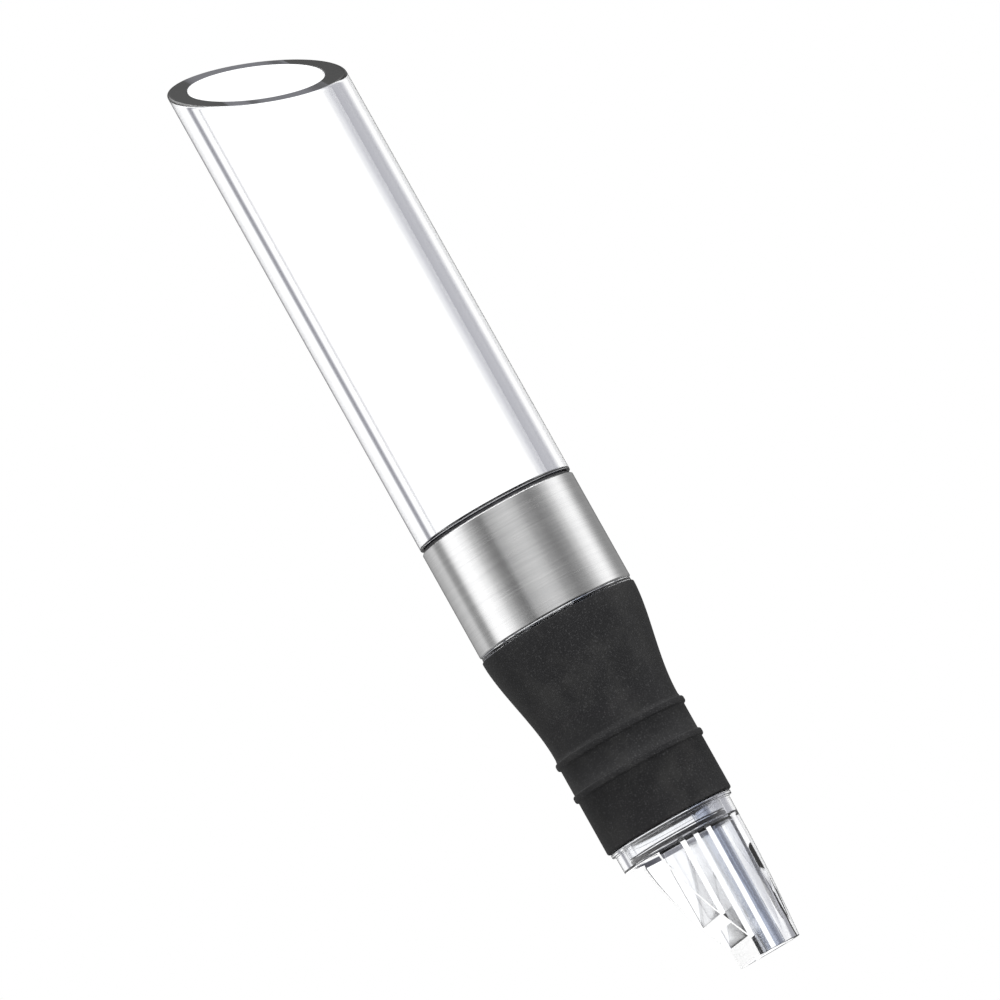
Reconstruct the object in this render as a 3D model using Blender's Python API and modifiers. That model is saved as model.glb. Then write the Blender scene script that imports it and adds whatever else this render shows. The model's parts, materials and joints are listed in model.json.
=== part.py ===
"""Aerating wine pourer: clear spout tube, steel band, ribbed rubber stopper and clear inlet.

The axis is Z with the mouth up. Z = 0 is the plane of the bottle's lip. The tube's long
lip points along +X.
"""

import math

import bmesh
import bpy
from mathutils import Matrix, Vector

mm = 0.001
SEGMENTS = 48  # sides of every turned piece

# Heights of the stack, from the bottle's lip
BAND_BOTTOM = 15.6 * mm
BAND_HEIGHT = 15.9 * mm
STOPPER_HEIGHT = 30.6 * mm  # from the stopper's top to its foot
MOUTH_HEIGHT = 67.3 * mm  # tube on its axis, above the band
MOUTH_TILT = math.radians(30.5)  # oblique cut, from square
NOZZLE_LENGTH = 21.4 * mm

# Spout tube and its spigot
TUBE_INSET = 0.05 * mm  # tube inside the band's radius
TUBE_WALL = 2.75 * mm
SPIGOT_WALL = 2.0 * mm
SHOULDER_RISE = 1.6 * mm  # height over which the bore narrows to the spigot

# Band and core
BAND_R = 11.5 * mm
BAND_WALL = 0.6 * mm
BAND_CHAMFER = 0.2 * mm
SOCKET_WALL = 1.2 * mm
FLANGE_THICK = 0.5 * mm
FLANGE_INSET = 0.15 * mm  # flange inside the band's radius
FLOOR_THICK = 1.2 * mm
STEM_WALL = 1.0 * mm
STEM_ENTRY = 1.9 * mm  # how far the stem reaches into the nozzle
SEAT_THICK = 0.35 * mm  # dark washer under the tube's shoulder
SEAT_INSET = 0.45 * mm  # washer inside the tube's radius

# Aerator
CAP_WALL = 1.0 * mm
CAP_ROOF = 1.2 * mm
CAP_HEIGHT = 3.4 * mm
JET_R = 0.7 * mm
JET_INNER_RING = 2.4 * mm
JET_COUNTS = (6, 12)  # inner and outer ring
JET_MARGIN = 0.5 * mm  # wall left between a jet and the grommet or the gasket
GASKET_WIDTH = 1.5 * mm
GASKET_THICK = 0.9 * mm
O_RING_SECTION = 0.4 * mm
O_RING_RISE = 5.0 * mm  # above the spigot's end
GROOVE_SPARE = 0.1 * mm

# Air tube
AIR_R = 1.4 * mm
AIR_WALL = 0.5 * mm
AIR_EDGE = 0.3 * mm  # between the air tube and the stem's bore
AIR_RISE = 0.5 * mm  # above the grommet
GROMMET_WALL = 0.6 * mm
GROMMET_LIP = 0.5 * mm

# Stopper
STOPPER_PROUD = 0.1 * mm  # top edge outside the band's radius
STOPPER_BODY_R = 9.43 * mm
RUBBER_WALL = 2.08 * mm
RIB_PROUD = 0.35 * mm
RIB_HALF = 0.55 * mm
RIB_DROPS = (2.3 * mm, 7.2 * mm)  # below the lip's plane
TAPER_END = 1.2 * mm  # below the lip's plane
TAPER_WAIST = 0.09 * mm  # taper's end inside the body's radius

# Nozzle
NOZZLE_FLANGE_LIP = 0.45 * mm  # flange outside the collar
NOZZLE_FLANGE_THICK = 0.5 * mm
COLLAR_WALL = 1.3 * mm
COLLAR_HEIGHT = 3.05 * mm
NOZZLE_DRAFT = 0.93 * mm  # foot's radius less than the collar's
NOZZLE_BULGE = 0.2 * mm  # how far the side stands out of a straight taper
NOZZLE_WALL = 1.0 * mm
SCOOP_TURN = math.radians(62.0)  # the scoop's side, from +X
SCOOP_STEP = 3.85 * mm  # cut's depth into the side, just under the collar
SCOOP_FOOT_X = -0.3 * mm  # cut's distance from the axis at the foot
SCOOP_KNEE = 2.9 * mm  # height of the straight stretch above the foot
FIN_THICK = 0.7 * mm
FIN_PITCH = 1.9 * mm
FIN_CLEARANCE = 0.25 * mm  # beside the air tube
FIN_OVERLAP = 0.05 * mm  # fin's face past the scoop's cut
INLET_GASKET_THICK = 0.5 * mm

# Clearances
SEAT_GAP = 0.15 * mm  # between faces that rest on each other
SLIP_GAP = 0.15 * mm  # radial, between pieces that plug together
RUBBER_GAP = 0.15 * mm  # radial, stopper on stem

# Sizes that follow from the ones above
TUBE_R = BAND_R - TUBE_INSET
STOPPER_TOP_R = BAND_R + STOPPER_PROUD
STEM_R = STOPPER_BODY_R - RUBBER_WALL - RUBBER_GAP
RIB_R = STOPPER_BODY_R + RIB_PROUD
TAPER_R = STOPPER_BODY_R - TAPER_WAIST
COLLAR_R = STEM_R + SLIP_GAP + COLLAR_WALL
NOZZLE_FOOT_R = COLLAR_R - NOZZLE_DRAFT
NOZZLE_FLANGE_R = COLLAR_R + NOZZLE_FLANGE_LIP
SCOOP_TOP_X = COLLAR_R - SCOOP_STEP
BAND_TOP = BAND_BOTTOM + BAND_HEIGHT
TUBE_BOTTOM = BAND_TOP + SEAT_GAP + SEAT_THICK + SEAT_GAP
FLANGE_TOP = BAND_BOTTOM - SEAT_GAP
FLANGE_BOTTOM = FLANGE_TOP - FLANGE_THICK
FLOOR_TOP = FLANGE_TOP + FLOOR_THICK
STOPPER_TOP = FLANGE_BOTTOM - SEAT_GAP
STOPPER_FOOT = STOPPER_TOP - STOPPER_HEIGHT
SOCKET_OUT_R = BAND_R - BAND_WALL - SLIP_GAP
SOCKET_R = SOCKET_OUT_R - SOCKET_WALL
SPIGOT_R = SOCKET_R - SLIP_GAP
STEM_END = STOPPER_FOOT - SEAT_GAP - STEM_ENTRY
CAP_BOTTOM = FLOOR_TOP + SEAT_GAP
CAP_TOP = CAP_BOTTOM + CAP_HEIGHT
SPIGOT_END = CAP_TOP + SEAT_GAP + GASKET_THICK + SEAT_GAP
NOZZLE_TOP = STOPPER_FOOT - SEAT_GAP
NOZZLE_FOOT = NOZZLE_TOP - NOZZLE_LENGTH
NOZZLE_SEAT = STEM_END - SEAT_GAP - INLET_GASKET_THICK - SEAT_GAP
COLLAR_FOOT = NOZZLE_TOP - COLLAR_HEIGHT
GROMMET_R = AIR_R + SLIP_GAP + GROMMET_WALL
GASKET_IN_R = SOCKET_R - SLIP_GAP - GASKET_WIDTH
STEM_LIMIT = STEM_R - STEM_WALL - AIR_EDGE - AIR_R
GASKET_LIMIT = GASKET_IN_R - SEAT_GAP - GROMMET_R - GROMMET_LIP
AIR_OFFSET = min(STEM_LIMIT, GASKET_LIMIT)  # clears the stem's bore and the gasket
AIR_TOP = CAP_TOP + GROMMET_LIP + AIR_RISE
SCOOP_DIR = Vector((math.cos(SCOOP_TURN), math.sin(SCOOP_TURN), 0.0))
AIR_SPOT = -AIR_OFFSET * SCOOP_DIR


def clear_scene():
    for old in list(bpy.data.objects):
        bpy.data.objects.remove(old, do_unlink=True)


def make_collection(name):
    group = bpy.data.collections.new(name)
    bpy.context.scene.collection.children.link(group)
    return group


def make_material(name, color, roughness, metallic=0.0, alpha=1.0):
    material = bpy.data.materials.new(name)
    material.use_nodes = True
    shader = material.node_tree.nodes["Principled BSDF"]
    shader.inputs["Base Color"].default_value = (*color, 1.0)
    shader.inputs["Roughness"].default_value = roughness
    shader.inputs["Metallic"].default_value = metallic
    shader.inputs["Alpha"].default_value = alpha
    return material


def add_object(name, mesh, group, material=None):
    piece = bpy.data.objects.new(name, mesh)
    group.objects.link(piece)
    if material:
        mesh.materials.append(material)
    return piece


def turned(name, outline, group, material=None):
    """A closed outline of (radius, height) points, turned about Z."""
    mesh = bpy.data.meshes.new(name)
    points = [(radius, 0.0, height) for radius, height in outline]
    count = len(points)
    edges = [(i, (i + 1) % count) for i in range(count)]
    mesh.from_pydata(points, edges, [])
    piece = add_object(name, mesh, group, material)
    screw = piece.modifiers.new("Screw", "SCREW")
    screw.axis = "Z"
    screw.steps = SEGMENTS
    screw.render_steps = SEGMENTS
    screw.use_merge_vertices = True
    screw.merge_threshold = 0.00001
    return piece


def box(name, low, high, group):
    mesh = bpy.data.meshes.new(name)
    shape = bmesh.new()
    size = Vector(high) - Vector(low)
    middle = (Vector(high) + Vector(low)) / 2
    place = Matrix.Translation(middle) @ Matrix.Diagonal((*size, 1.0))
    bmesh.ops.create_cube(shape, size=1.0, matrix=place)
    shape.to_mesh(mesh)
    shape.free()
    return add_object(name, mesh, group)


def rod(name, radius, low, high, spot, group, sides=24):
    mesh = bpy.data.meshes.new(name)
    shape = bmesh.new()
    place = Matrix.Translation((spot[0], spot[1], (low + high) / 2))
    bmesh.ops.create_cone(
        shape, cap_ends=True, segments=sides, radius1=radius, radius2=radius, depth=high - low, matrix=place
    )
    shape.to_mesh(mesh)
    shape.free()
    return add_object(name, mesh, group)


def as_cutter(piece):
    piece.hide_render = True
    piece.display_type = "WIRE"
    return piece


def boolean(piece, other, operation):
    step = piece.modifiers.new(other.name, "BOOLEAN")
    step.object = as_cutter(other)
    step.operation = operation
    step.solver = "EXACT"


def ring_outline(outer, inner, low, high):
    return [(outer, high), (outer, low), (inner, low), (inner, high)]


def smooth_step(share):
    return share * share * (3.0 - 2.0 * share)


def make_spout_tube(group, cutters):
    bore = TUBE_R - TUBE_WALL
    spigot_bore = SPIGOT_R - SPIGOT_WALL
    reach = MOUTH_HEIGHT + TUBE_R * math.tan(MOUTH_TILT)
    top = TUBE_BOTTOM + reach + 5 * mm
    groove_mid = SPIGOT_END + O_RING_RISE
    groove_half = O_RING_SECTION + GROOVE_SPARE
    groove_r = SPIGOT_R - 2 * O_RING_SECTION - GROOVE_SPARE
    outline = [
        (TUBE_R, top),
        (TUBE_R, TUBE_BOTTOM),
        (SPIGOT_R, TUBE_BOTTOM),
        (SPIGOT_R, groove_mid + groove_half),
        (groove_r, groove_mid + groove_half),
        (groove_r, groove_mid - groove_half),
        (SPIGOT_R, groove_mid - groove_half),
        (SPIGOT_R, SPIGOT_END),
        (spigot_bore, SPIGOT_END),
        (spigot_bore, TUBE_BOTTOM),
    ]
    for step in range(1, 5):
        share = step / 4
        radius = spigot_bore + (bore - spigot_bore) * math.sin(share * math.pi / 2)
        height = TUBE_BOTTOM + SHOULDER_RISE * (1.0 - math.cos(share * math.pi / 2))
        outline.append((radius, height))
    outline.append((bore, top))
    material = make_material("clear_acrylic", (0.93, 0.95, 0.96), 0.05, alpha=0.35)
    tube = turned("spout_tube", outline, group, material)
    cut = box("mouth_cut", (-40 * mm, -40 * mm, 0.0), (40 * mm, 40 * mm, 40 * mm), cutters)
    cut.location = (0.0, 0.0, BAND_TOP + MOUTH_HEIGHT)
    cut.rotation_euler = (0.0, -MOUTH_TILT, 0.0)
    boolean(tube, cut, "DIFFERENCE")


def make_spout_o_ring(group):
    middle = SPIGOT_R - O_RING_SECTION
    height = SPIGOT_END + O_RING_RISE
    outline = []
    for step in range(8):
        angle = -step * math.tau / 8 + math.pi / 8
        outline.append((middle + O_RING_SECTION * math.cos(angle), height + O_RING_SECTION * math.sin(angle)))
    turned("spout_o_ring", outline, group, make_material("clear_silicone", (0.80, 0.80, 0.78), 0.5))


def make_seat_ring(group):
    low = BAND_TOP + SEAT_GAP
    outline = ring_outline(TUBE_R - SEAT_INSET, SOCKET_R + SLIP_GAP, low, low + SEAT_THICK)
    turned("seat_ring", outline, group, make_material("dark_silicone", (0.03, 0.03, 0.035), 0.5))


def make_steel_band(group):
    inner = BAND_R - BAND_WALL
    chamfer = BAND_CHAMFER
    outline = [
        (BAND_R - chamfer, BAND_TOP),
        (BAND_R, BAND_TOP - chamfer),
        (BAND_R, BAND_BOTTOM + chamfer),
        (BAND_R - chamfer, BAND_BOTTOM),
        (inner, BAND_BOTTOM),
        (inner, BAND_TOP),
    ]
    turned("steel_band", outline, group, make_material("brushed_steel", (0.62, 0.62, 0.61), 0.3, 1.0))


def make_core_body(group):
    stem_bore = STEM_R - STEM_WALL
    outline = [
        (SOCKET_OUT_R, BAND_TOP - SEAT_GAP),
        (SOCKET_OUT_R, FLANGE_TOP),
        (BAND_R - FLANGE_INSET, FLANGE_TOP),
        (BAND_R - FLANGE_INSET, FLANGE_BOTTOM),
        (STEM_R, FLANGE_BOTTOM),
        (STEM_R, STEM_END),
        (stem_bore, STEM_END),
        (stem_bore, FLOOR_TOP),
        (SOCKET_R, FLOOR_TOP),
        (SOCKET_R, BAND_TOP - SEAT_GAP),
    ]
    turned("core_body", outline, group, make_material("clear_plastic", (0.90, 0.92, 0.93), 0.1, alpha=0.35))


def make_aerator_cap(group, cutters):
    outer = SOCKET_R - SLIP_GAP
    inner = outer - CAP_WALL
    outline = [
        (0.0, CAP_TOP),
        (outer, CAP_TOP),
        (outer, CAP_BOTTOM),
        (inner, CAP_BOTTOM),
        (inner, CAP_TOP - CAP_ROOF),
        (0.0, CAP_TOP - CAP_ROOF),
    ]
    cap = turned("aerator_cap", outline, group, make_material("cap_plastic", (0.80, 0.82, 0.83), 0.2))
    low = CAP_TOP - 2 * CAP_ROOF
    high = CAP_TOP + CAP_ROOF
    seat = rod("grommet_hole", GROMMET_R + SLIP_GAP, low, high, AIR_SPOT, cutters)
    boolean(cap, seat, "DIFFERENCE")
    outer_ring = GASKET_IN_R - JET_MARGIN - JET_R
    for ring_r, count in zip((JET_INNER_RING, outer_ring), JET_COUNTS):
        for index in range(count):
            angle = SCOOP_TURN + (index + 0.5) * math.tau / count
            spot = Vector((ring_r * math.cos(angle), ring_r * math.sin(angle), 0.0))
            if (spot - AIR_SPOT).length < GROMMET_R + SLIP_GAP + JET_R + JET_MARGIN:
                continue
            jet = rod("jet_cut", JET_R, low, high, spot, cutters, sides=10)
            boolean(cap, jet, "DIFFERENCE")


def make_cap_gasket(group):
    outer = SOCKET_R - SLIP_GAP
    low = CAP_TOP + SEAT_GAP
    outline = ring_outline(outer, GASKET_IN_R, low, low + GASKET_THICK)
    turned("cap_gasket", outline, group, make_material("cap_silicone", (0.80, 0.80, 0.78), 0.5))


def make_air_tube(group):
    bore = AIR_R - AIR_WALL
    low = NOZZLE_FOOT + FIN_CLEARANCE
    tube = turned(
        "air_tube",
        ring_outline(AIR_R, bore, low, AIR_TOP),
        group,
        make_material("tube_plastic", (0.72, 0.75, 0.80), 0.15, alpha=0.5),
    )
    tube.modifiers["Screw"].steps = SEGMENTS // 2
    tube.modifiers["Screw"].render_steps = SEGMENTS // 2
    tube.location = AIR_SPOT


def make_air_grommet(group):
    """A collar with a lip over the cap's roof and one under it."""
    inner = AIR_R + SLIP_GAP
    lip = GROMMET_R + GROMMET_LIP
    roof_low = CAP_TOP - CAP_ROOF
    outline = [
        (inner, CAP_TOP + GROMMET_LIP),
        (lip, CAP_TOP + GROMMET_LIP),
        (lip, CAP_TOP + SEAT_GAP),
        (GROMMET_R, CAP_TOP + SEAT_GAP),
        (GROMMET_R, roof_low - GROMMET_LIP),
        (inner, roof_low - GROMMET_LIP),
    ]
    material = make_material("grommet_silicone", (0.80, 0.80, 0.78), 0.5)
    grommet = turned("air_grommet", outline, group, material)
    grommet.modifiers["Screw"].steps = SEGMENTS // 2
    grommet.modifiers["Screw"].render_steps = SEGMENTS // 2
    grommet.location = AIR_SPOT


def stopper_side():
    """Outer side of the stopper, from its top to its foot."""
    steps = 9
    side = []
    for step in range(steps + 1):
        share = step / steps
        height = STOPPER_TOP + (-TAPER_END - STOPPER_TOP) * share
        side.append((STOPPER_TOP_R + (TAPER_R - STOPPER_TOP_R) * smooth_step(share) ** 0.92, height))
    for drop in RIB_DROPS:
        side.append((STOPPER_BODY_R, -drop + RIB_HALF))
        side.append((RIB_R, -drop + RIB_HALF * 0.3))
        side.append((RIB_R, -drop - RIB_HALF * 0.3))
        side.append((STOPPER_BODY_R, -drop - RIB_HALF))
    side.append((STOPPER_BODY_R, STOPPER_FOOT))
    return side


def make_stopper(group):
    bore = STEM_R + RUBBER_GAP
    outline = stopper_side() + [(bore, STOPPER_FOOT), (bore, STOPPER_TOP)]
    turned("stopper", outline, group, make_material("black_rubber", (0.035, 0.035, 0.037), 0.6))


def nozzle_radius(height):
    """Outer radius of the nozzle's side, from the flange down to the foot."""
    share = (NOZZLE_TOP - NOZZLE_FLANGE_THICK - height) / (NOZZLE_LENGTH - NOZZLE_FLANGE_THICK)
    return COLLAR_R + (NOZZLE_FOOT_R - COLLAR_R) * share + NOZZLE_BULGE * math.sin(math.pi * share)


def scoop_outline():
    """Side view of what the scoop's cut takes away, as (distance towards the scoop, height)."""
    knee = NOZZLE_FOOT + SCOOP_KNEE
    steps = 6
    points = []
    for step in range(steps + 1):
        share = step / steps
        height = COLLAR_FOOT + (knee - COLLAR_FOOT) * share
        points.append((SCOOP_TOP_X + (SCOOP_FOOT_X - SCOOP_TOP_X) * share**1.45, height))
    far = 2 * COLLAR_R
    below = NOZZLE_FOOT - NOZZLE_FLANGE_THICK
    return [*points, (SCOOP_FOOT_X, below), (far, below), (far, COLLAR_FOOT)]


def scoop_cutter(cutters):
    """The scoop's side view as a filled curve, pushed through the nozzle."""
    curve = bpy.data.curves.new("scoop_curve", "CURVE")
    curve.dimensions = "2D"
    curve.fill_mode = "BOTH"
    curve.extrude = 2 * COLLAR_R
    outline = scoop_outline()
    spline = curve.splines.new("POLY")
    spline.points.add(len(outline) - 1)
    for point, (across, height) in zip(spline.points, outline):
        point.co = (across, height, 0.0, 1.0)
    spline.use_cyclic_u = True
    flat = bpy.data.objects.new("scoop_curve", curve)
    cutters.objects.link(flat)
    flat.rotation_euler = (math.pi / 2, 0.0, SCOOP_TURN)
    bpy.context.view_layer.update()
    depsgraph = bpy.context.evaluated_depsgraph_get()
    mesh = bpy.data.meshes.new_from_object(flat.evaluated_get(depsgraph))
    shape = bmesh.new()
    shape.from_mesh(mesh)
    bmesh.ops.remove_doubles(shape, verts=shape.verts, dist=0.000001)
    bmesh.ops.recalc_face_normals(shape, faces=shape.faces)
    shape.to_mesh(mesh)
    shape.free()
    solid = bpy.data.objects.new("scoop_cut", mesh)
    cutters.objects.link(solid)
    solid.matrix_world = flat.matrix_world
    bpy.data.objects.remove(flat, do_unlink=True)
    return solid


def fin_places():
    """Distance of each fin towards the scoop: one in the scoop, its wall and two that hold the air tube."""
    wall = SCOOP_FOOT_X + FIN_OVERLAP - FIN_THICK / 2
    reach = AIR_R + FIN_CLEARANCE + FIN_THICK / 2
    near = reach - AIR_OFFSET
    far = -reach - AIR_OFFSET
    return wall + FIN_PITCH, wall, near, far


def make_inlet_nozzle(group, cutters):
    body_top = NOZZLE_TOP - NOZZLE_FLANGE_THICK
    socket = STEM_R + SLIP_GAP
    steps = 6
    heights = [body_top + (NOZZLE_FOOT - body_top) * step / steps for step in range(steps + 1)]
    outline = [(NOZZLE_FLANGE_R, NOZZLE_TOP), (NOZZLE_FLANGE_R, body_top)]
    outline += [(nozzle_radius(height), height) for height in heights]
    outline += [(nozzle_radius(height) - NOZZLE_WALL, height) for height in reversed(heights[2:])]
    ledge = nozzle_radius(NOZZLE_SEAT) - NOZZLE_WALL - FIN_THICK
    outline += [(ledge, NOZZLE_SEAT), (socket, NOZZLE_SEAT), (socket, NOZZLE_TOP)]
    material = make_material("inlet_plastic", (0.90, 0.92, 0.93), 0.1, alpha=0.35)
    nozzle = turned("inlet_nozzle", outline, group, material)
    core = turned(
        "fin_limit",
        [
            (0.0, NOZZLE_SEAT),
            (nozzle_radius(NOZZLE_SEAT) - NOZZLE_WALL / 2, NOZZLE_SEAT),
            (NOZZLE_FOOT_R - NOZZLE_WALL / 2, NOZZLE_FOOT),
            (0.0, NOZZLE_FOOT),
        ],
        cutters,
    )
    for number, across in enumerate(fin_places()):
        half = FIN_THICK / 2
        low = (across - half, -COLLAR_R, NOZZLE_FOOT - SEAT_GAP)
        high = (across + half, COLLAR_R, NOZZLE_SEAT + SEAT_GAP)
        fin = box(f"fin_{number}", low, high, cutters)
        fin.rotation_euler = (0.0, 0.0, SCOOP_TURN)
        boolean(fin, core, "INTERSECT")
        boolean(nozzle, fin, "UNION")
    boolean(nozzle, scoop_cutter(cutters), "DIFFERENCE")


def make_inlet_gasket(group):
    outer = STEM_R
    low = STEM_END - SEAT_GAP - INLET_GASKET_THICK
    outline = ring_outline(outer, STEM_R - STEM_WALL, low, low + INLET_GASKET_THICK)
    turned("inlet_gasket", outline, group, make_material("inlet_silicone", (0.80, 0.80, 0.78), 0.5))


def smooth_round_faces():
    for piece in bpy.data.objects:
        if piece.type == "MESH" and not piece.hide_render:
            piece.data.shade_smooth()
            piece.data.set_sharp_from_angle(angle=math.radians(30))


clear_scene()
parts = make_collection("aerating_wine_pourer")
cutters = make_collection("cutters")
make_spout_tube(parts, cutters)
make_spout_o_ring(parts)
make_seat_ring(parts)
make_steel_band(parts)
make_core_body(parts)
make_aerator_cap(parts, cutters)
make_cap_gasket(parts)
make_air_tube(parts)
make_air_grommet(parts)
make_stopper(parts)
make_inlet_nozzle(parts, cutters)
make_inlet_gasket(parts)
smooth_round_faces()
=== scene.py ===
import json
import math

import bmesh
import bpy
from mathutils import Matrix, Vector

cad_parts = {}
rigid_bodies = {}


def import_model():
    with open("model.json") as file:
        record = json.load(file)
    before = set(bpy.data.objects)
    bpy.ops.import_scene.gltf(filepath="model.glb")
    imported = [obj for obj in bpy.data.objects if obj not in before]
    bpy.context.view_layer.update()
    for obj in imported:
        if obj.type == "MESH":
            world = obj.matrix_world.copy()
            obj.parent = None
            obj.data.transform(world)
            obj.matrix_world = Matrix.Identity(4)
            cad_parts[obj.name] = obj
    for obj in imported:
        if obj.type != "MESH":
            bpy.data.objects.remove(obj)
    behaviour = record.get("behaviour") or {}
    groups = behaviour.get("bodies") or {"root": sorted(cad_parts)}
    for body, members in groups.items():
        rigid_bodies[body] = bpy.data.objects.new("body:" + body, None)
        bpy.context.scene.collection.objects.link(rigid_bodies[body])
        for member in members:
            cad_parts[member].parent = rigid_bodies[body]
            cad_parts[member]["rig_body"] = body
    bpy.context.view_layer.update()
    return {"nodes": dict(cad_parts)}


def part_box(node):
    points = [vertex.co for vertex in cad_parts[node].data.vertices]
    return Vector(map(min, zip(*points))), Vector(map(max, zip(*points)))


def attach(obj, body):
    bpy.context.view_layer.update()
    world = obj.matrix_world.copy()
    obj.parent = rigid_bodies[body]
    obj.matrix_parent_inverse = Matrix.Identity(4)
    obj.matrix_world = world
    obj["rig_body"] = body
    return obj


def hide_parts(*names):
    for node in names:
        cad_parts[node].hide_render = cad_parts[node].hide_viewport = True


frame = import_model()
mm = 0.001
print("frame loaded:", len(frame["nodes"]), "solids")


# Node trees

class Wire:  # an output socket, so that node maths reads as a Python expression
    def __init__(self, board, socket):
        self.board = board
        self.socket = socket

    def calc(self, operation, *others):
        return self.board.node("ShaderNodeMath", {"operation": operation}, dict(enumerate((self, *others))))

    def calcAfter(self, operation, first):
        return self.board.node("ShaderNodeMath", {"operation": operation}, {0: first, 1: self})

    def __add__(self, other):
        return self.calc("ADD", other)

    def __sub__(self, other):
        return self.calc("SUBTRACT", other)

    def __rsub__(self, other):
        return self.calcAfter("SUBTRACT", other)

    def __mul__(self, other):
        return self.calc("MULTIPLY", other)

    def __truediv__(self, other):
        return self.calc("DIVIDE", other)

    def __rtruediv__(self, other):
        return self.calcAfter("DIVIDE", other)

    __radd__ = __add__
    __rmul__ = __mul__

    def rise(self, low, high):  # 0 below low, 1 above high, smooth between
        return self.board.node(
            "ShaderNodeMapRange",
            {"interpolation_type": "SMOOTHSTEP", "clamp": True},
            {"Value": self, "From Min": low, "From Max": high},
        )

    def fall(self, low, high):
        return 1 - self.rise(low, high)

    def bump(self, middle, width):  # a soft hump, 1 in the middle
        away = (self - middle) / width
        return 1 / (1 + away * away * away * away)

    def pick(self, off, on):  # colour off where this is 0, colour on where it is 1
        return self.board.node("ShaderNodeMix", {"data_type": "RGBA"}, {0: self, 6: off, 7: on}, 2)

    def of(self, name):
        return Wire(self.board, self.socket.node.outputs[name])


class Board:  # a node tree that is wired up by calls
    def __init__(self, tree):
        self.tree = tree

    def node(self, kind, settings=None, sockets=None, out=0):
        made = self.tree.nodes.new(kind)
        for name, value in (settings or {}).items():
            if name == "stops":
                self.setStops(made.color_ramp, value)
            else:
                setattr(made, name, value)
        for key, value in (sockets or {}).items():
            if isinstance(value, Wire):
                self.tree.links.new(value.socket, made.inputs[key])
            else:
                made.inputs[key].default_value = value
        return Wire(self, made.outputs[out]) if len(made.outputs) else made

    def setStops(self, ramp, stops):
        ramp.interpolation = "EASE"
        while len(ramp.elements) < len(stops):
            ramp.elements.new(1.0)
        for element, (place, level) in zip(ramp.elements, stops):
            element.position = place
            element.color = (level, level, level, 1.0)


def setInput(modifier, name, value):
    for item in modifier.node_group.interface.items_tree:
        if item.item_type == "SOCKET" and item.in_out == "INPUT" and item.name == name:
            modifier[item.identifier] = value


def makeLathe():  # turns a closed section about Z; the lip slope shears its top into an oblique mouth
    tree = bpy.data.node_groups.new("turnedPiece", "GeometryNodeTree")
    inputs = (
        ("Section", "NodeSocketGeometry"),
        ("Sides", "NodeSocketInt"),
        ("Centre X", "NodeSocketFloat"),
        ("Centre Y", "NodeSocketFloat"),
        ("Lip Start", "NodeSocketFloat"),
        ("Lip Slope", "NodeSocketFloat"),
        ("Finish", "NodeSocketMaterial"),
    )
    for name, kind in inputs:
        tree.interface.new_socket(name, in_out="INPUT", socket_type=kind)
    tree.interface.new_socket("Piece", in_out="OUTPUT", socket_type="NodeSocketGeometry")
    board = Board(tree)
    section = board.node("NodeGroupInput", out="Section")
    sides = section.of("Sides")
    count = board.node(
        "GeometryNodeAttributeDomainSize", {"component": "MESH"}, {"Geometry": section}, "Point Count"
    )
    grid = board.node("GeometryNodeMeshGrid", None, {"Vertices X": count + 1, "Vertices Y": sides + 1}, "Mesh")
    index = board.node("GeometryNodeInputIndex")
    column = (index / (sides + 1)).calc("FLOOR")
    row = index - column * (sides + 1)
    position = board.node("GeometryNodeInputPosition")
    outline = board.node(
        "GeometryNodeSampleIndex",
        {"data_type": "FLOAT_VECTOR", "domain": "POINT"},
        {"Geometry": section, "Value": position, "Index": column.calc("MODULO", count)},
    )
    corner = board.node("ShaderNodeSeparateXYZ", None, {0: outline})
    radius = corner.of("X")
    height = corner.of("Z")
    turn = row / sides * math.tau
    across = radius * turn.calc("COSINE")
    lip = height.calc("GREATER_THAN", section.of("Lip Start"))
    shifted = board.node(
        "ShaderNodeCombineXYZ",
        None,
        {
            "X": across + section.of("Centre X"),
            "Y": radius * turn.calc("SINE") + section.of("Centre Y"),
            "Z": height + lip * across * section.of("Lip Slope"),
        },
    )
    moved = board.node("GeometryNodeSetPosition", None, {"Geometry": grid, "Position": shifted})
    closed = board.node("GeometryNodeMergeByDistance", None, {"Geometry": moved, "Distance": 0.0005 * mm})
    real = board.node("GeometryNodeRealizeInstances", None, {"Geometry": closed})
    finished = board.node("GeometryNodeSetMaterial", None, {"Geometry": real, "Material": section.of("Finish")})
    board.node("NodeGroupOutput", None, {"Piece": finished})
    return tree


def makeFinRow():  # one upright plate at each point of the input
    tree = bpy.data.node_groups.new("finRow", "GeometryNodeTree")
    inputs = (
        ("Places", "NodeSocketGeometry"),
        ("Thickness", "NodeSocketFloat"),
        ("Width", "NodeSocketFloat"),
        ("Height", "NodeSocketFloat"),
        ("Turn", "NodeSocketFloat"),
        ("Finish", "NodeSocketMaterial"),
    )
    for name, kind in inputs:
        tree.interface.new_socket(name, in_out="INPUT", socket_type=kind)
    tree.interface.new_socket("Fins", in_out="OUTPUT", socket_type="NodeSocketGeometry")
    board = Board(tree)
    places = board.node("NodeGroupInput", out="Places")
    size = board.node(
        "ShaderNodeCombineXYZ",
        None,
        {"X": places.of("Thickness"), "Y": places.of("Width"), "Z": places.of("Height")},
    )
    plate = board.node("GeometryNodeMeshCube", None, {"Size": size}, "Mesh")
    heading = board.node("ShaderNodeCombineXYZ", None, {"Z": places.of("Turn")})
    rotation = board.node("FunctionNodeEulerToRotation", None, {0: heading})
    row = board.node(
        "GeometryNodeInstanceOnPoints", None, {"Points": places, "Instance": plate, "Rotation": rotation}
    )
    real = board.node("GeometryNodeRealizeInstances", None, {"Geometry": row})
    finished = board.node("GeometryNodeSetMaterial", None, {"Geometry": real, "Material": places.of("Finish")})
    board.node("NodeGroupOutput", None, {"Fins": finished})
    return tree


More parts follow.
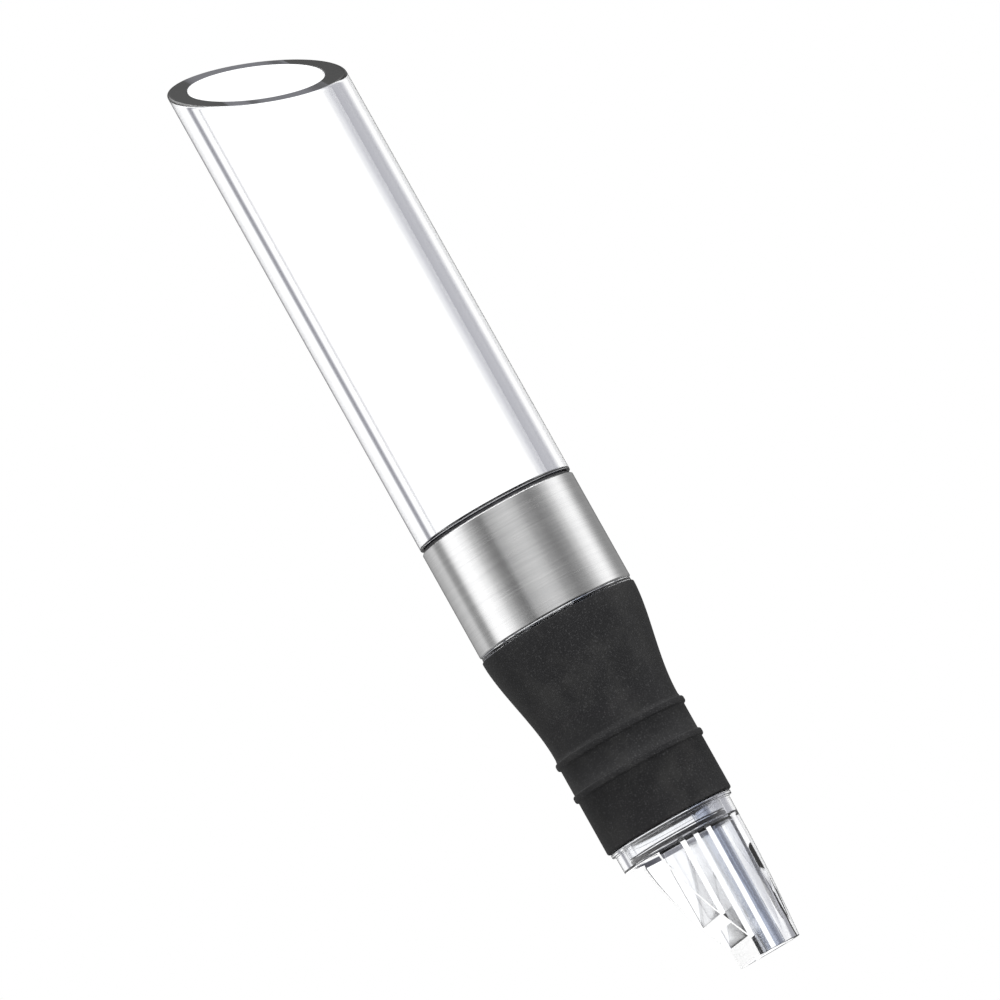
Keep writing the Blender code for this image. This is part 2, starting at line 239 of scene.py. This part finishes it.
latheTree = makeLathe()
finTree = makeFinRow()


# Outlines and meshes

def spanOf(node):
    low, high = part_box(node)
    middle = (low + high) / 2
    return {"low": low.z, "high": high.z, "radius": (high.x - low.x) / 2, "x": middle.x, "y": middle.y}


def roundOff(corners, arcSteps=6):  # corners are (radius, height, fillet), sharp where the fillet is 0
    points = []
    count = len(corners)
    for number, (radius, height, fillet) in enumerate(corners):
        here = Vector((radius, height))
        before = Vector(corners[number - 1][:2]) - here
        after = Vector(corners[(number + 1) % count][:2]) - here
        if fillet <= 0:
            points.append(here)
            continue
        opening = before.angle(after)
        reach = min(fillet / math.tan(opening / 2), 0.42 * before.length, 0.42 * after.length)
        fillet = reach * math.tan(opening / 2)
        hold = 0.35 * min(reach, before.length - reach, after.length - reach)
        centre = here + (before.normalized() + after.normalized()).normalized() * fillet / math.sin(opening / 2)
        start = here + before.normalized() * reach - centre
        end = here + after.normalized() * reach - centre
        sweep = start.angle_signed(end)
        points.append(here + before.normalized() * (reach + hold))
        for step in range(arcSteps + 1):
            angle = -sweep * step / arcSteps
            points.append(centre + Matrix.Rotation(angle, 2) @ start)
        points.append(here + after.normalized() * (reach + hold))
    return points


def isInsideOut(mesh):
    shape = bmesh.new()
    shape.from_mesh(mesh)
    volume = shape.calc_volume(signed=True)
    shape.free()
    return volume < 0


def settle(piece):  # the evaluated shape becomes the piece's own mesh
    bpy.context.view_layer.update()
    graph = bpy.context.evaluated_depsgraph_get()
    mesh = bpy.data.meshes.new_from_object(piece.evaluated_get(graph))
    piece.modifiers.clear()
    piece.data = mesh
    if isInsideOut(mesh):
        mesh.flip_normals()
    mesh.shade_smooth()
    return piece


def newPiece(name, mesh):
    piece = bpy.data.objects.new(name, mesh)
    bpy.context.scene.collection.objects.link(piece)
    return piece


def turned(name, outline, finish, sides=144, centre=(0.0, 0.0), lipStart=1.0, lipSlope=0.0):
    mesh = bpy.data.meshes.new(name)
    count = len(outline)
    edges = [(point, (point + 1) % count) for point in range(count)]
    mesh.from_pydata([(radius, 0.0, height) for radius, height in outline], edges, [])
    piece = newPiece(name, mesh)
    spin = piece.modifiers.new("Turned", "NODES")
    spin.node_group = latheTree
    setInput(spin, "Sides", sides)
    setInput(spin, "Centre X", centre[0])
    setInput(spin, "Centre Y", centre[1])
    setInput(spin, "Lip Start", lipStart)
    setInput(spin, "Lip Slope", lipSlope)
    setInput(spin, "Finish", finish)
    return settle(piece)


def place(piece, node, slot):
    body = frame["nodes"][node]["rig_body"]
    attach(piece, body)
    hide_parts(node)
    print(piece.name, "on", body, len(piece.data.polygons), "faces")


# Finishes

def newFinish(name, fixed):  # a material with its Principled shader's constant sockets set
    finish = bpy.data.materials.new(name)
    finish.use_nodes = True
    shader = finish.node_tree.nodes["Principled BSDF"]
    for socket, value in fixed.items():
        shader.inputs[socket].default_value = value
    board = Board(finish.node_tree)
    spot = board.node("ShaderNodeTexCoord", out="Object")
    return finish, board, spot, shader


def feed(board, shader, socket, wire):
    board.tree.links.new(wire.socket, shader.inputs[socket])


def grain(board, spot, scale, detail=2.0, rough=0.5):
    return board.node(
        "ShaderNodeTexNoise", None, {"Vector": spot, "Scale": scale, "Detail": detail, "Roughness": rough}
    )


def stretched(board, spot, scale):
    return board.node("ShaderNodeMapping", None, {"Vector": spot, "Scale": scale})


def relief(board, height, strength, distance):
    return board.node("ShaderNodeBump", None, {"Height": height, "Strength": strength, "Distance": distance})


acrylicLook = {
    "tint": (0.985, 0.988, 0.995, 1.0),
    "ior": 1.49,
    "haze": 0.012,
    "waveScale": 55.0,
    "waveHeight": 0.004 * mm,
}


def makeAcrylic():
    look = acrylicLook
    finish, board, spot, shader = newFinish(
        "clearAcrylic", {"Base Color": look["tint"], "IOR": look["ior"], "Transmission Weight": 1.0}
    )
    waves = grain(board, stretched(board, spot, (1.0, 1.0, 0.25)), look["waveScale"], 1.0)
    smear = grain(board, spot, 240.0, 3.0).rise(0.45, 0.75)
    feed(board, shader, "Roughness", smear * look["haze"])
    feed(board, shader, "Normal", relief(board, waves, 0.25, look["waveHeight"]))
    return finish


plasticLook = {"tint": (0.97, 0.975, 0.985, 1.0), "ior": 1.49, "haze": 0.05, "rippleHeight": 0.005 * mm}


def makeClearPlastic(name, look):
    finish, board, spot, shader = newFinish(
        name, {"Base Color": look["tint"], "IOR": look["ior"], "Transmission Weight": 1.0}
    )
    ripples = grain(board, stretched(board, spot, (1.0, 1.0, 0.12)), 420.0, 2.0)
    feed(board, shader, "Roughness", grain(board, spot, 300.0, 3.0).rise(0.4, 0.8) * look["haze"])
    feed(board, shader, "Normal", relief(board, ripples, 0.3, look["rippleHeight"]))
    return finish


steelLook = {
    "dark": (0.76, 0.76, 0.765, 1.0),
    "light": (0.87, 0.87, 0.87, 1.0),
    "lineScale": 12500.0,
    "aroundScale": 160.0,
    "roughness": 0.15,
    "anisotropy": 0.7,
    "lineHeight": 0.004 * mm,
}


def makeSteel():  # hair lines run round the band
    look = steelLook
    finish, board, spot, shader = newFinish(
        "brushedSteel", {"Metallic": 1.0, "Anisotropic": look["anisotropy"], "Anisotropic Rotation": 0.25}
    )
    around = look["aroundScale"]
    fine = grain(board, stretched(board, spot, (around, around, look["lineScale"])), 1.0, 3.0, 0.6)
    coarse = grain(board, stretched(board, spot, (around / 3, around / 3, look["lineScale"] / 5)), 1.0, 2.0)
    cloud = grain(board, spot, 130.0, 2.0)
    streaks = fine * 0.65 + coarse * 0.35
    feed(board, shader, "Base Color", streaks.rise(0.3, 0.7).pick(look["dark"], look["light"]))
    feed(board, shader, "Roughness", look["roughness"] + streaks * 0.14 + cloud * 0.06)
    feed(board, shader, "Normal", relief(board, streaks, 0.22, look["lineHeight"]))
    return finish


rubberLook = {
    "base": (0.0062, 0.0062, 0.0066, 1.0),
    "fleck": (0.034, 0.034, 0.035, 1.0),
    # the lighter mottle colour below stands for dust and also for a painted soft sheen
    "soilSheenTint": (0.015, 0.0148, 0.0145, 1.0),
    "roughness": 0.5,
    "grainScale": 2600.0,
    "grainHeight": 0.02 * mm,
}


def makeRubber():
    look = rubberLook
    finish, board, spot, shader = newFinish("blackRubber", {"Specular IOR Level": 0.14})
    fine = grain(board, spot, look["grainScale"], 3.0, 0.6)
    flecks = grain(board, spot, look["grainScale"] * 1.9, 2.0).rise(0.52, 0.74)
    # random mottles, lighter in colour: partly dust, partly a painted sheen; they also roughen the surface
    soilSheenMask = grain(board, spot, 170.0, 4.0, 0.6).rise(0.42, 0.72)
    soilAndSheen = (soilSheenMask * 0.55).pick(look["base"], look["soilSheenTint"])
    feed(board, shader, "Base Color", (flecks * 0.4).pick(soilAndSheen, look["fleck"]))
    feed(board, shader, "Roughness", look["roughness"] + soilSheenMask * 0.1 - flecks * 0.12)
    feed(board, shader, "Normal", relief(board, fine, 0.55, look["grainHeight"]))
    return finish


def makeSilicone(name, base, light, roughness, clear):
    finish, board, spot, shader = newFinish(name, {"Transmission Weight": clear, "IOR": 1.41})
    cloud = grain(board, spot, 600.0, 3.0)
    feed(board, shader, "Base Color", cloud.rise(0.35, 0.65).pick(base, light))
    feed(board, shader, "Roughness", roughness + cloud * 0.15)
    feed(board, shader, "Normal", relief(board, grain(board, spot, 3000.0), 0.2, 0.01 * mm))
    return finish


clearAcrylic = makeAcrylic()
clearPlastic = makeClearPlastic("clearPlastic", plasticLook)
smokyPlastic = makeClearPlastic("smokyPlastic", {**plasticLook, "tint": (0.66, 0.69, 0.76, 1.0)})
brushedSteel = makeSteel()
blackRubber = makeRubber()
silicone = makeSilicone("silicone", (0.70, 0.71, 0.71, 1.0), (0.82, 0.82, 0.81, 1.0), 0.3, 0.35)
darkSilicone = makeSilicone("darkSilicone", (0.018, 0.018, 0.02, 1.0), (0.032, 0.032, 0.035, 1.0), 0.35, 0.0)
capPlastic = makeSilicone("capPlastic", (0.78, 0.80, 0.81, 1.0), (0.86, 0.87, 0.88, 1.0), 0.12, 0.6)
print("finishes made")


# Spout tube, its O-ring and the washer under its shoulder

gap = 0.15 * mm  # between faces that rest on each other
closeGap = 0.03 * mm  # where the seam shows
band = spanOf("steel_band")
washer = spanOf("seat_ring")
oRing = spanOf("spout_o_ring")
spoutTube = {
    "wall": 2.75 * mm,
    "spigotWall": 2.0 * mm,
    "shoulderRise": 0.7 * mm,
    "tilt": math.radians(30.5),
    "rimFillet": 0.4 * mm,
    "boreFillet": 0.2 * mm,
    "footFillet": 0.12 * mm,
    "spigotFillet": 0.15 * mm,
    "grooveSpare": 0.1 * mm,
    "ringSection": 0.4 * mm,
}


def makeSpoutTube():
    size = spoutTube
    span = spanOf("spout_tube")
    outer = span["radius"]
    bore = outer - size["wall"]
    spigot = oRing["radius"]
    spigotBore = spigot - size["spigotWall"]
    slope = math.tan(size["tilt"])
    mouth = span["high"] - outer * slope
    foot = washer["high"] + closeGap
    grooveMid = (oRing["low"] + oRing["high"]) / 2
    grooveHalf = size["ringSection"] + size["grooveSpare"]
    grooveR = spigot - 2 * size["ringSection"] - size["grooveSpare"]
    small = size["spigotFillet"]
    corners = [
        (outer, mouth, size["rimFillet"]),
        (outer, foot, size["footFillet"]),
        (spigot, foot, small),
        (spigot, grooveMid + grooveHalf, small / 2),
        (grooveR, grooveMid + grooveHalf, small / 2),
        (grooveR, grooveMid - grooveHalf, small / 2),
        (spigot, grooveMid - grooveHalf, small / 2),
        (spigot, span["low"], small),
        (spigotBore, span["low"], small),
        (spigotBore, foot, 0.0),
    ]
    shoulderSteps = 8
    for step in range(1, shoulderSteps + 1):
        angle = step / shoulderSteps * math.pi / 2
        radius = spigotBore + (bore - spigotBore) * math.sin(angle)
        height = foot + size["shoulderRise"] * (1 - math.cos(angle))
        corners.append((radius, height, 0.0))
    corners.append((bore, foot + 1.1 * size["shoulderRise"], 0.0))  # keeps the bore's shading straight
    corners.append((bore, mouth, size["boreFillet"]))
    lipStart = (mouth + foot) / 2
    tube = turned("spoutTube", roundOff(corners, 8), clearAcrylic, 192, (0.0, 0.0), lipStart, slope)
    place(tube, "spout_tube", "clear_acrylic")


def ringOutline(outer, inner, low, high, fillet):
    around = ((outer, high), (outer, low), (inner, low), (inner, high))
    return roundOff([(radius, height, fillet) for radius, height in around], 4)


def makeORing():
    middle = oRing["radius"] - spoutTube["ringSection"]
    height = (oRing["low"] + oRing["high"]) / 2
    outline = []
    steps = 16
    for step in range(steps):
        angle = -math.tau * step / steps
        out = Vector((math.cos(angle), math.sin(angle)))
        outline.append(out * spoutTube["ringSection"] + Vector((middle, height)))
    place(turned("spoutRing", outline, silicone, 96), "spout_o_ring", "silicone")


makeSpoutTube()
makeORing()
washerWidth = 1.3 * mm
washerOutline = ringOutline(
    washer["radius"], washer["radius"] - washerWidth, washer["low"], washer["high"], 0.1 * mm
)
place(turned("seatWasher", washerOutline, darkSilicone), "seat_ring", "dark_silicone")


# Steel band

bandShape = {"wall": 0.6 * mm, "chamfer": 0.2 * mm, "edge": 0.06 * mm}


def makeBand():
    size = bandShape
    outer = band["radius"]
    chamfer = size["chamfer"]
    inner = outer - size["wall"]
    top = washer["low"] - closeGap
    low = band["low"] - gap + closeGap
    corners = [
        (inner, top, size["edge"]),
        (outer - chamfer, top, size["edge"]),
        (outer, top - chamfer, size["edge"]),
        (outer, low + chamfer, size["edge"]),
        (outer - chamfer, low, size["edge"]),
        (inner, low, size["edge"]),
    ]
    place(turned("steelBand", roundOff(corners, 3), brushedSteel, 192), "steel_band", "brushed_steel")


makeBand()


# Core with its socket, flange and stem

coreShape = {
    "socketWall": 1.2 * mm,
    "flange": 0.5 * mm,
    "floor": 1.2 * mm,
    "stemWall": 1.0 * mm,
    "stem": 7.2 * mm,
    "fillet": 0.15 * mm,
}


def makeCore():
    size = coreShape
    span = spanOf("core_body")
    socketOut = band["radius"] - bandShape["wall"] - gap
    socket = socketOut - size["socketWall"]
    flangeTop = band["low"] - gap
    flangeLow = flangeTop - size["flange"]
    floorTop = flangeTop + size["floor"]
    fillet = size["fillet"]
    corners = [
        (socketOut, span["high"], fillet),
        (socketOut, flangeTop, 0.0),
        (span["radius"], flangeTop, fillet),
        (span["radius"], flangeLow, fillet),
        (size["stem"], flangeLow, 0.0),
        (size["stem"], span["low"], fillet),
        (size["stem"] - size["stemWall"], span["low"], fillet),
        (size["stem"] - size["stemWall"], floorTop, fillet),
        (socket, floorTop, 0.0),
        (socket, span["high"], fillet),
    ]
    place(turned("coreBody", roundOff(corners, 4), clearPlastic), "core_body", "clear_plastic")


makeCore()


# Air tube and the aerator's small pieces

airShape = {"wall": 0.5 * mm, "fillet": 0.12 * mm}


def makeAirTube():
    span = spanOf("air_tube")
    outline = ringOutline(
        span["radius"], span["radius"] - airShape["wall"], span["low"], span["high"], airShape["fillet"]
    )
    tube = turned("airTube", outline, smokyPlastic, 48, (span["x"], span["y"]))
    place(tube, "air_tube", "air_plastic")


makeAirTube()
carriedOver = {"aerator_cap": capPlastic, "cap_gasket": silicone, "air_grommet": silicone}
for node, finish in carriedOver.items():
    frame["nodes"][node].material_slots[0].material = finish


# Rubber stopper

stopperShape = {
    "taperEnd": 1.2 * mm,  # below the lip's plane
    "waist": 0.09 * mm,
    "body": 9.43 * mm,
    "bore": 7.35 * mm,
    "ribDrops": (2.3 * mm, 7.2 * mm),
    "ribProud": 0.35 * mm,
    "ribHalf": 0.55 * mm,
    "topFillet": 0.22 * mm,
    "footFillet": 0.3 * mm,
    "taperSteps": 28,
    "ribSteps": 12,
}


def stopperSide(span):
    size = stopperShape
    taperR = size["body"] - size["waist"]
    top = span["high"] + gap - closeGap
    corners = [(span["radius"], top, size["topFillet"])]
    for step in range(1, size["taperSteps"] + 1):
        share = step / size["taperSteps"]
        ease = (share * share * (3 - 2 * share)) ** 0.92
        height = top + (-size["taperEnd"] - top) * share
        corners.append((span["radius"] + (taperR - span["radius"]) * ease, height, 0.0))
    for drop in size["ribDrops"]:
        for step in range(size["ribSteps"] + 1):
            across = 1 - 2 * step / size["ribSteps"]
            hump = (1 - across**4) ** 0.75
            corners.append((size["body"] + size["ribProud"] * hump, -drop + size["ribHalf"] * across, 0.0))
    corners.append((size["body"], span["low"], size["footFillet"]))
    return corners


def makeStopper():
    span = spanOf("stopper")
    bore = stopperShape["bore"]
    edge = 0.15 * mm
    corners = stopperSide(span) + [(bore, span["low"], edge), (bore, span["high"] + gap - closeGap, edge)]
    place(turned("rubberStopper", roundOff(corners, 5), blackRubber, 160), "stopper", "black_rubber")


makeStopper()


# Clear inlet: collar, tapered side with a scoop cut out of it, and fins inside

inlet = spanOf("inlet_nozzle")
gasket = spanOf("inlet_gasket")
inletShape = {
    "flangeLip": 0.45 * mm,
    "flange": 0.5 * mm,
    "collarHeight": 3.05 * mm,
    "draft": 0.93 * mm,
    "bulge": 0.2 * mm,
    "wall": 1.0 * mm,
    "socket": 7.35 * mm,
    "scoopTurn": math.radians(62.0),
    "scoopStep": 3.85 * mm,
    "scoopFoot": -0.3 * mm,
    "scoopKnee": 2.9 * mm,
    "finThick": 0.7 * mm,
    "finPitch": 1.9 * mm,
    "airClearance": 0.25 * mm,
    "edge": 0.09 * mm,
    "sideSteps": 14,
}


def inletRadius(height):
    size = inletShape
    collar = inlet["radius"] - size["flangeLip"]
    top = inlet["high"] - size["flange"]
    share = (top - height) / (top - inlet["low"])
    return collar - size["draft"] * share + size["bulge"] * math.sin(math.pi * share)


def inletOutline():
    size = inletShape
    edge = size["edge"]
    top = inlet["high"] - size["flange"]
    seat = gasket["low"] - gap
    steps = size["sideSteps"]
    heights = [top + (inlet["low"] - top) * step / steps for step in range(steps + 1)]
    corners = [(inlet["radius"], inlet["high"], edge), (inlet["radius"], top, edge)]
    corners += [(inletRadius(height), height, 0.0) for height in heights[:-1]]
    corners.append((inletRadius(inlet["low"]), inlet["low"], edge))
    corners.append((inletRadius(inlet["low"]) - size["wall"], inlet["low"], edge))
    inside = [height for height in heights[:-1] if height < seat - size["wall"] / 2]
    corners += [(inletRadius(height) - size["wall"], height, 0.0) for height in reversed(inside)]
    ledge = inletRadius(seat) - size["wall"] - size["finThick"]
    corners += [(ledge, seat, edge), (size["socket"], seat, 0.0), (size["socket"], inlet["high"], edge)]
    return roundOff(corners, 4)


def finPlaces():
    size = inletShape
    air = spanOf("air_tube")
    airOffset = math.hypot(air["x"], air["y"])
    wall = size["scoopFoot"] + 0.05 * mm - size["finThick"] / 2
    reach = air["radius"] + size["airClearance"] + size["finThick"] / 2
    return wall + size["finPitch"], wall, reach - airOffset, -reach - airOffset


def scoopSide():
    size = inletShape
    knee = inlet["low"] + size["scoopKnee"]
    start = inlet["high"] - size["collarHeight"]
    top = inlet["radius"] - size["flangeLip"] - size["scoopStep"]
    steps = 20
    points = []
    for step in range(steps + 1):
        share = step / steps
        points.append((top + (size["scoopFoot"] - top) * share**1.45, start + (knee - start) * share))
    far = 2 * inlet["radius"]
    below = inlet["low"] - size["flange"]
    return [*points, (size["scoopFoot"], below), (far, below), (far, start)]


def makeScoopCutter():
    half = 2 * inlet["radius"]
    shape = bmesh.new()
    side = [shape.verts.new((across, -half, height)) for across, height in scoopSide()]
    face = shape.faces.new(side)
    pushed = bmesh.ops.extrude_face_region(shape, geom=[face])["geom"]
    moved = [part for part in pushed if isinstance(part, bmesh.types.BMVert)]
    bmesh.ops.translate(shape, verts=moved, vec=(0.0, 2 * half, 0.0))
    bmesh.ops.recalc_face_normals(shape, faces=shape.faces)
    bmesh.ops.rotate(shape, verts=shape.verts, matrix=Matrix.Rotation(inletShape["scoopTurn"], 3, "Z"))
    mesh = bpy.data.meshes.new("scoopCutter")
    shape.to_mesh(mesh)
    shape.free()
    return newPiece("scoopCutter", mesh)


def makeFins():
    size = inletShape
    low = inlet["low"] - gap
    high = gasket["low"]
    turn = size["scoopTurn"]
    spots = [(across * math.cos(turn), across * math.sin(turn), (low + high) / 2) for across in finPlaces()]
    mesh = bpy.data.meshes.new("fins")
    mesh.from_pydata(spots, [], [])
    fins = newPiece("fins", mesh)
    row = fins.modifiers.new("Fins", "NODES")
    row.node_group = finTree
    setInput(row, "Thickness", size["finThick"])
    setInput(row, "Width", 4 * size["socket"])
    setInput(row, "Height", high - low)
    setInput(row, "Turn", turn)
    setInput(row, "Finish", clearPlastic)
    return settle(fins)


def makeFinLimit(seat):  # the space inside the side wall that the fins fill
    half = inletShape["wall"] / 2
    low = inlet["low"]
    shape = bmesh.new()
    bmesh.ops.create_cone(
        shape,
        cap_ends=True,
        segments=128,
        radius1=inletRadius(low) - half,
        radius2=inletRadius(seat) - half,
        depth=seat - low,
        matrix=Matrix.Translation((0.0, 0.0, (seat + low) / 2)),
    )
    mesh = bpy.data.meshes.new("finLimit")
    shape.to_mesh(mesh)
    shape.free()
    return newPiece("finLimit", mesh)


def cutWith(piece, other, operation):
    step = piece.modifiers.new(other.name, "BOOLEAN")
    step.object = other
    step.operation = operation
    step.solver = "EXACT"


def makeInlet():
    size = inletShape
    seat = gasket["low"] - gap
    nozzle = turned("inletNozzle", inletOutline(), clearPlastic, 128)
    limit = makeFinLimit(seat)
    fins = makeFins()
    scoop = makeScoopCutter()
    cutWith(fins, limit, "INTERSECT")
    cutWith(nozzle, settle(fins), "UNION")
    cutWith(nozzle, scoop, "DIFFERENCE")
    settle(nozzle)
    for helper in (limit, fins, scoop):
        bpy.data.objects.remove(helper)
    nozzle.data.set_sharp_from_angle(angle=math.radians(30))
    place(nozzle, "inlet_nozzle", "clear_plastic")


makeInlet()
gasketOutline = ringOutline(
    gasket["radius"], gasket["radius"] - coreShape["stemWall"], gasket["low"], gasket["high"], 0.12 * mm
)
place(turned("inletGasket", gasketOutline, darkSilicone, 96), "inlet_gasket", "dark_silicone")


# Studio: camera, floor, surroundings and lamps

cameraSetup = {
    "turn": math.radians(-129.9),  # heading of the picture's right-hand side, from +X
    "distance": 900 * mm,
    "height": -63 * mm,
    "aimSide": 1.22 * mm,
    "aimHeight": 33.03 * mm,
    "roll": math.radians(29.26),
    "lens": 242.7,
}


def makeCamera():
    setup = cameraSetup
    turn = setup["turn"]
    right = Vector((math.cos(turn), math.sin(turn), 0.0))
    ahead = Vector((-math.sin(turn), math.cos(turn), 0.0))
    target = right * setup["aimSide"] + Vector((0.0, 0.0, setup["aimHeight"]))
    eye = right * setup["aimSide"] - ahead * setup["distance"] + Vector((0.0, 0.0, setup["height"]))
    data = bpy.data.cameras.new("camera")
    data.lens = setup["lens"]
    data.sensor_width = 36.0
    data.clip_start = 0.05
    data.clip_end = 50.0
    camera = newPiece("camera", data)
    level = (target - eye).to_track_quat("-Z", "Y").to_matrix().to_4x4()
    camera.matrix_world = Matrix.Translation(eye) @ level @ Matrix.Rotation(-setup["roll"], 4, "Z")
    bpy.context.scene.camera = camera


floorSetup = {"height": -72 * mm, "half": 4.0, "colour": (0.86, 0.86, 0.86, 1.0)}


def makeFloor():
    half = floorSetup["half"]
    mesh = bpy.data.meshes.new("studioFloor")
    ring = [(-half, -half), (half, -half), (half, half), (-half, half)]
    mesh.from_pydata([(x, y, floorSetup["height"]) for x, y in ring], [], [(0, 1, 2, 3)])
    finish, board, spot, shader = newFinish("floorPaper", {"Base Color": floorSetup["colour"]})
    feed(board, shader, "Roughness", 0.7 + grain(board, spot, 40.0, 3.0) * 0.15)
    mesh.materials.append(finish)
    floor = newPiece("studioFloor", mesh)
    floor.visible_transmission = False
    floor.visible_glossy = False


studio = {
    "backdrop": 1.0,
    "sheen": 1.3,  # what glossy surfaces mirror
    "soft": 0.6,  # what falls on matte surfaces
    "shadowTint": (0.84, 0.85, 1.0, 1.0),
    "panelFade": (10.0, 34.0),  # degrees to the right of straight ahead
    "panelLoss": 0.62,
    "flag": -40.0,
    "flagHalf": 7.0,
    "flagDark": 0.75,
    "ceiling": (13.0, 30.0),  # heights in degrees between which the surroundings go dark
    "ceilingDark": 0.9,
    "table": (-36.0, -24.0),
    "tableDark": 0.85,
    "overhead": (31.0, 60.0),  # heights over which glossy surfaces find a bright panel
    "overheadLevel": 2.2,
    "underneath": (-60.0, -25.0),
    "underneathDark": 0.65,
    "passed": 1.25,  # makes up for what each wall turns back
}
mirrorLevels = [  # degrees round from straight ahead, clockwise from above, and level from 0 to 1
    (0, 0.10), (10, 0.12), (23, 0.24), (40, 0.23), (52, 0.27), (61, 0.46), (70, 0.78), (78, 0.93), (91, 0.80),
    (103, 0.49), (115, 0.25), (130, 0.17), (145, 0.26), (159, 0.47), (168, 0.53), (178, 0.49), (196, 0.36),
    (205, 0.12), (215, 0.21), (225, 0.40), (240, 0.82), (251, 1.0), (263, 1.0), (269, 0.90), (280, 0.22),
    (290, 0.24), (299, 0.55), (308, 0.49), (320, 0.39), (337, 0.31), (350, 0.12), (360, 0.10),
]


def makeSurroundings():
    world = bpy.data.worlds.new("studio")
    bpy.context.scene.world = world
    world.use_nodes = True
    board = Board(world.node_tree)
    backdrop = world.node_tree.nodes["Background"]
    heading = board.node("ShaderNodeTexCoord", out="Generated")
    faced = board.node(
        "ShaderNodeVectorRotate",
        {"rotation_type": "Z_AXIS"},
        {"Vector": heading, "Angle": -cameraSetup["turn"]},
    )
    way = board.node("ShaderNodeSeparateXYZ", None, {0: faced})
    degrees = 180 / math.pi
    around = way.of("X").calc("ARCTAN2", way.of("Y")) * degrees
    up = way.of("Z").calc("ARCSINE") * degrees
    seen = board.node("ShaderNodeLightPath", out="Is Camera Ray")
    glossy = seen.of("Is Glossy Ray")
    through = seen.of("Is Transmission Ray")

    # what clear pieces show: a white panel behind, greyer to the right, with a dark flag at its left
    panel = 1 - around.rise(*studio["panelFade"]) * studio["panelLoss"]
    panel = panel * (1 - around.bump(studio["flag"], studio["flagHalf"]) * studio["flagDark"])
    ceiling = 1 - up.rise(*studio["ceiling"]) * studio["ceilingDark"]
    table = 1 - up.fall(*studio["table"]) * studio["tableDark"]
    clear = panel * ceiling * table * studio["passed"]

    # what glossy pieces mirror
    turned360 = around / 360 + around.fall(-0.001, 0.001)
    stops = [(angle / 360, level) for angle, level in mirrorLevels]
    ring = board.node("ShaderNodeValToRGB", {"stops": stops}, {0: turned360})
    mirror = board.node("ShaderNodeRGBToBW", None, {0: ring})
    overhead = up.rise(*studio["overhead"])
    mirror = mirror * (1 - overhead) + overhead * studio["overheadLevel"]
    mirror = mirror * (1 - up.fall(*studio["underneath"]) * studio["underneathDark"]) * studio["sheen"]

    level = (1 - glossy) * studio["soft"] + glossy * mirror
    level = level * (1 - through) + through * clear
    level = level * (1 - seen) + seen * studio["backdrop"]
    tint = (through * (1 - clear)).pick((1.0, 1.0, 1.0, 1.0), studio["shadowTint"])
    board.tree.links.new(tint.socket, backdrop.inputs["Color"])
    board.tree.links.new(level.socket, backdrop.inputs["Strength"])


lamps = {  # heading from the camera's right, height, distance, size and power
    "key": {"turn": 78, "up": 27, "away": 0.9, "size": 0.5, "watts": 20.0},
    "fill": {"turn": 20, "up": 25, "away": 1.0, "size": 0.6, "watts": 3.0},
    "back": {"turn": -70, "up": 40, "away": 1.0, "size": 0.5, "watts": 3.5},
}


def makeLamps():
    centre = Vector((0.0, 0.0, cameraSetup["aimHeight"]))
    for name, lamp in lamps.items():
        turn = cameraSetup["turn"] - math.radians(lamp["turn"])
        up = math.radians(lamp["up"])
        heading = Vector((math.cos(turn) * math.cos(up), math.sin(turn) * math.cos(up), math.sin(up)))
        data = bpy.data.lights.new(name, "AREA")
        data.shape = "DISK"
        data.size = lamp["size"]
        data.energy = lamp["watts"]
        light = newPiece(name, data)
        light.matrix_world = Matrix.Translation(centre + heading * lamp["away"]) @ (
            heading.to_track_quat("Z", "Y").to_matrix().to_4x4()
        )
        light.visible_camera = False
        light.visible_transmission = False
        light.visible_glossy = False


makeCamera()
makeFloor()
makeSurroundings()
makeLamps()
bpy.context.scene.view_settings.view_transform = "Standard"
print("studio ready")
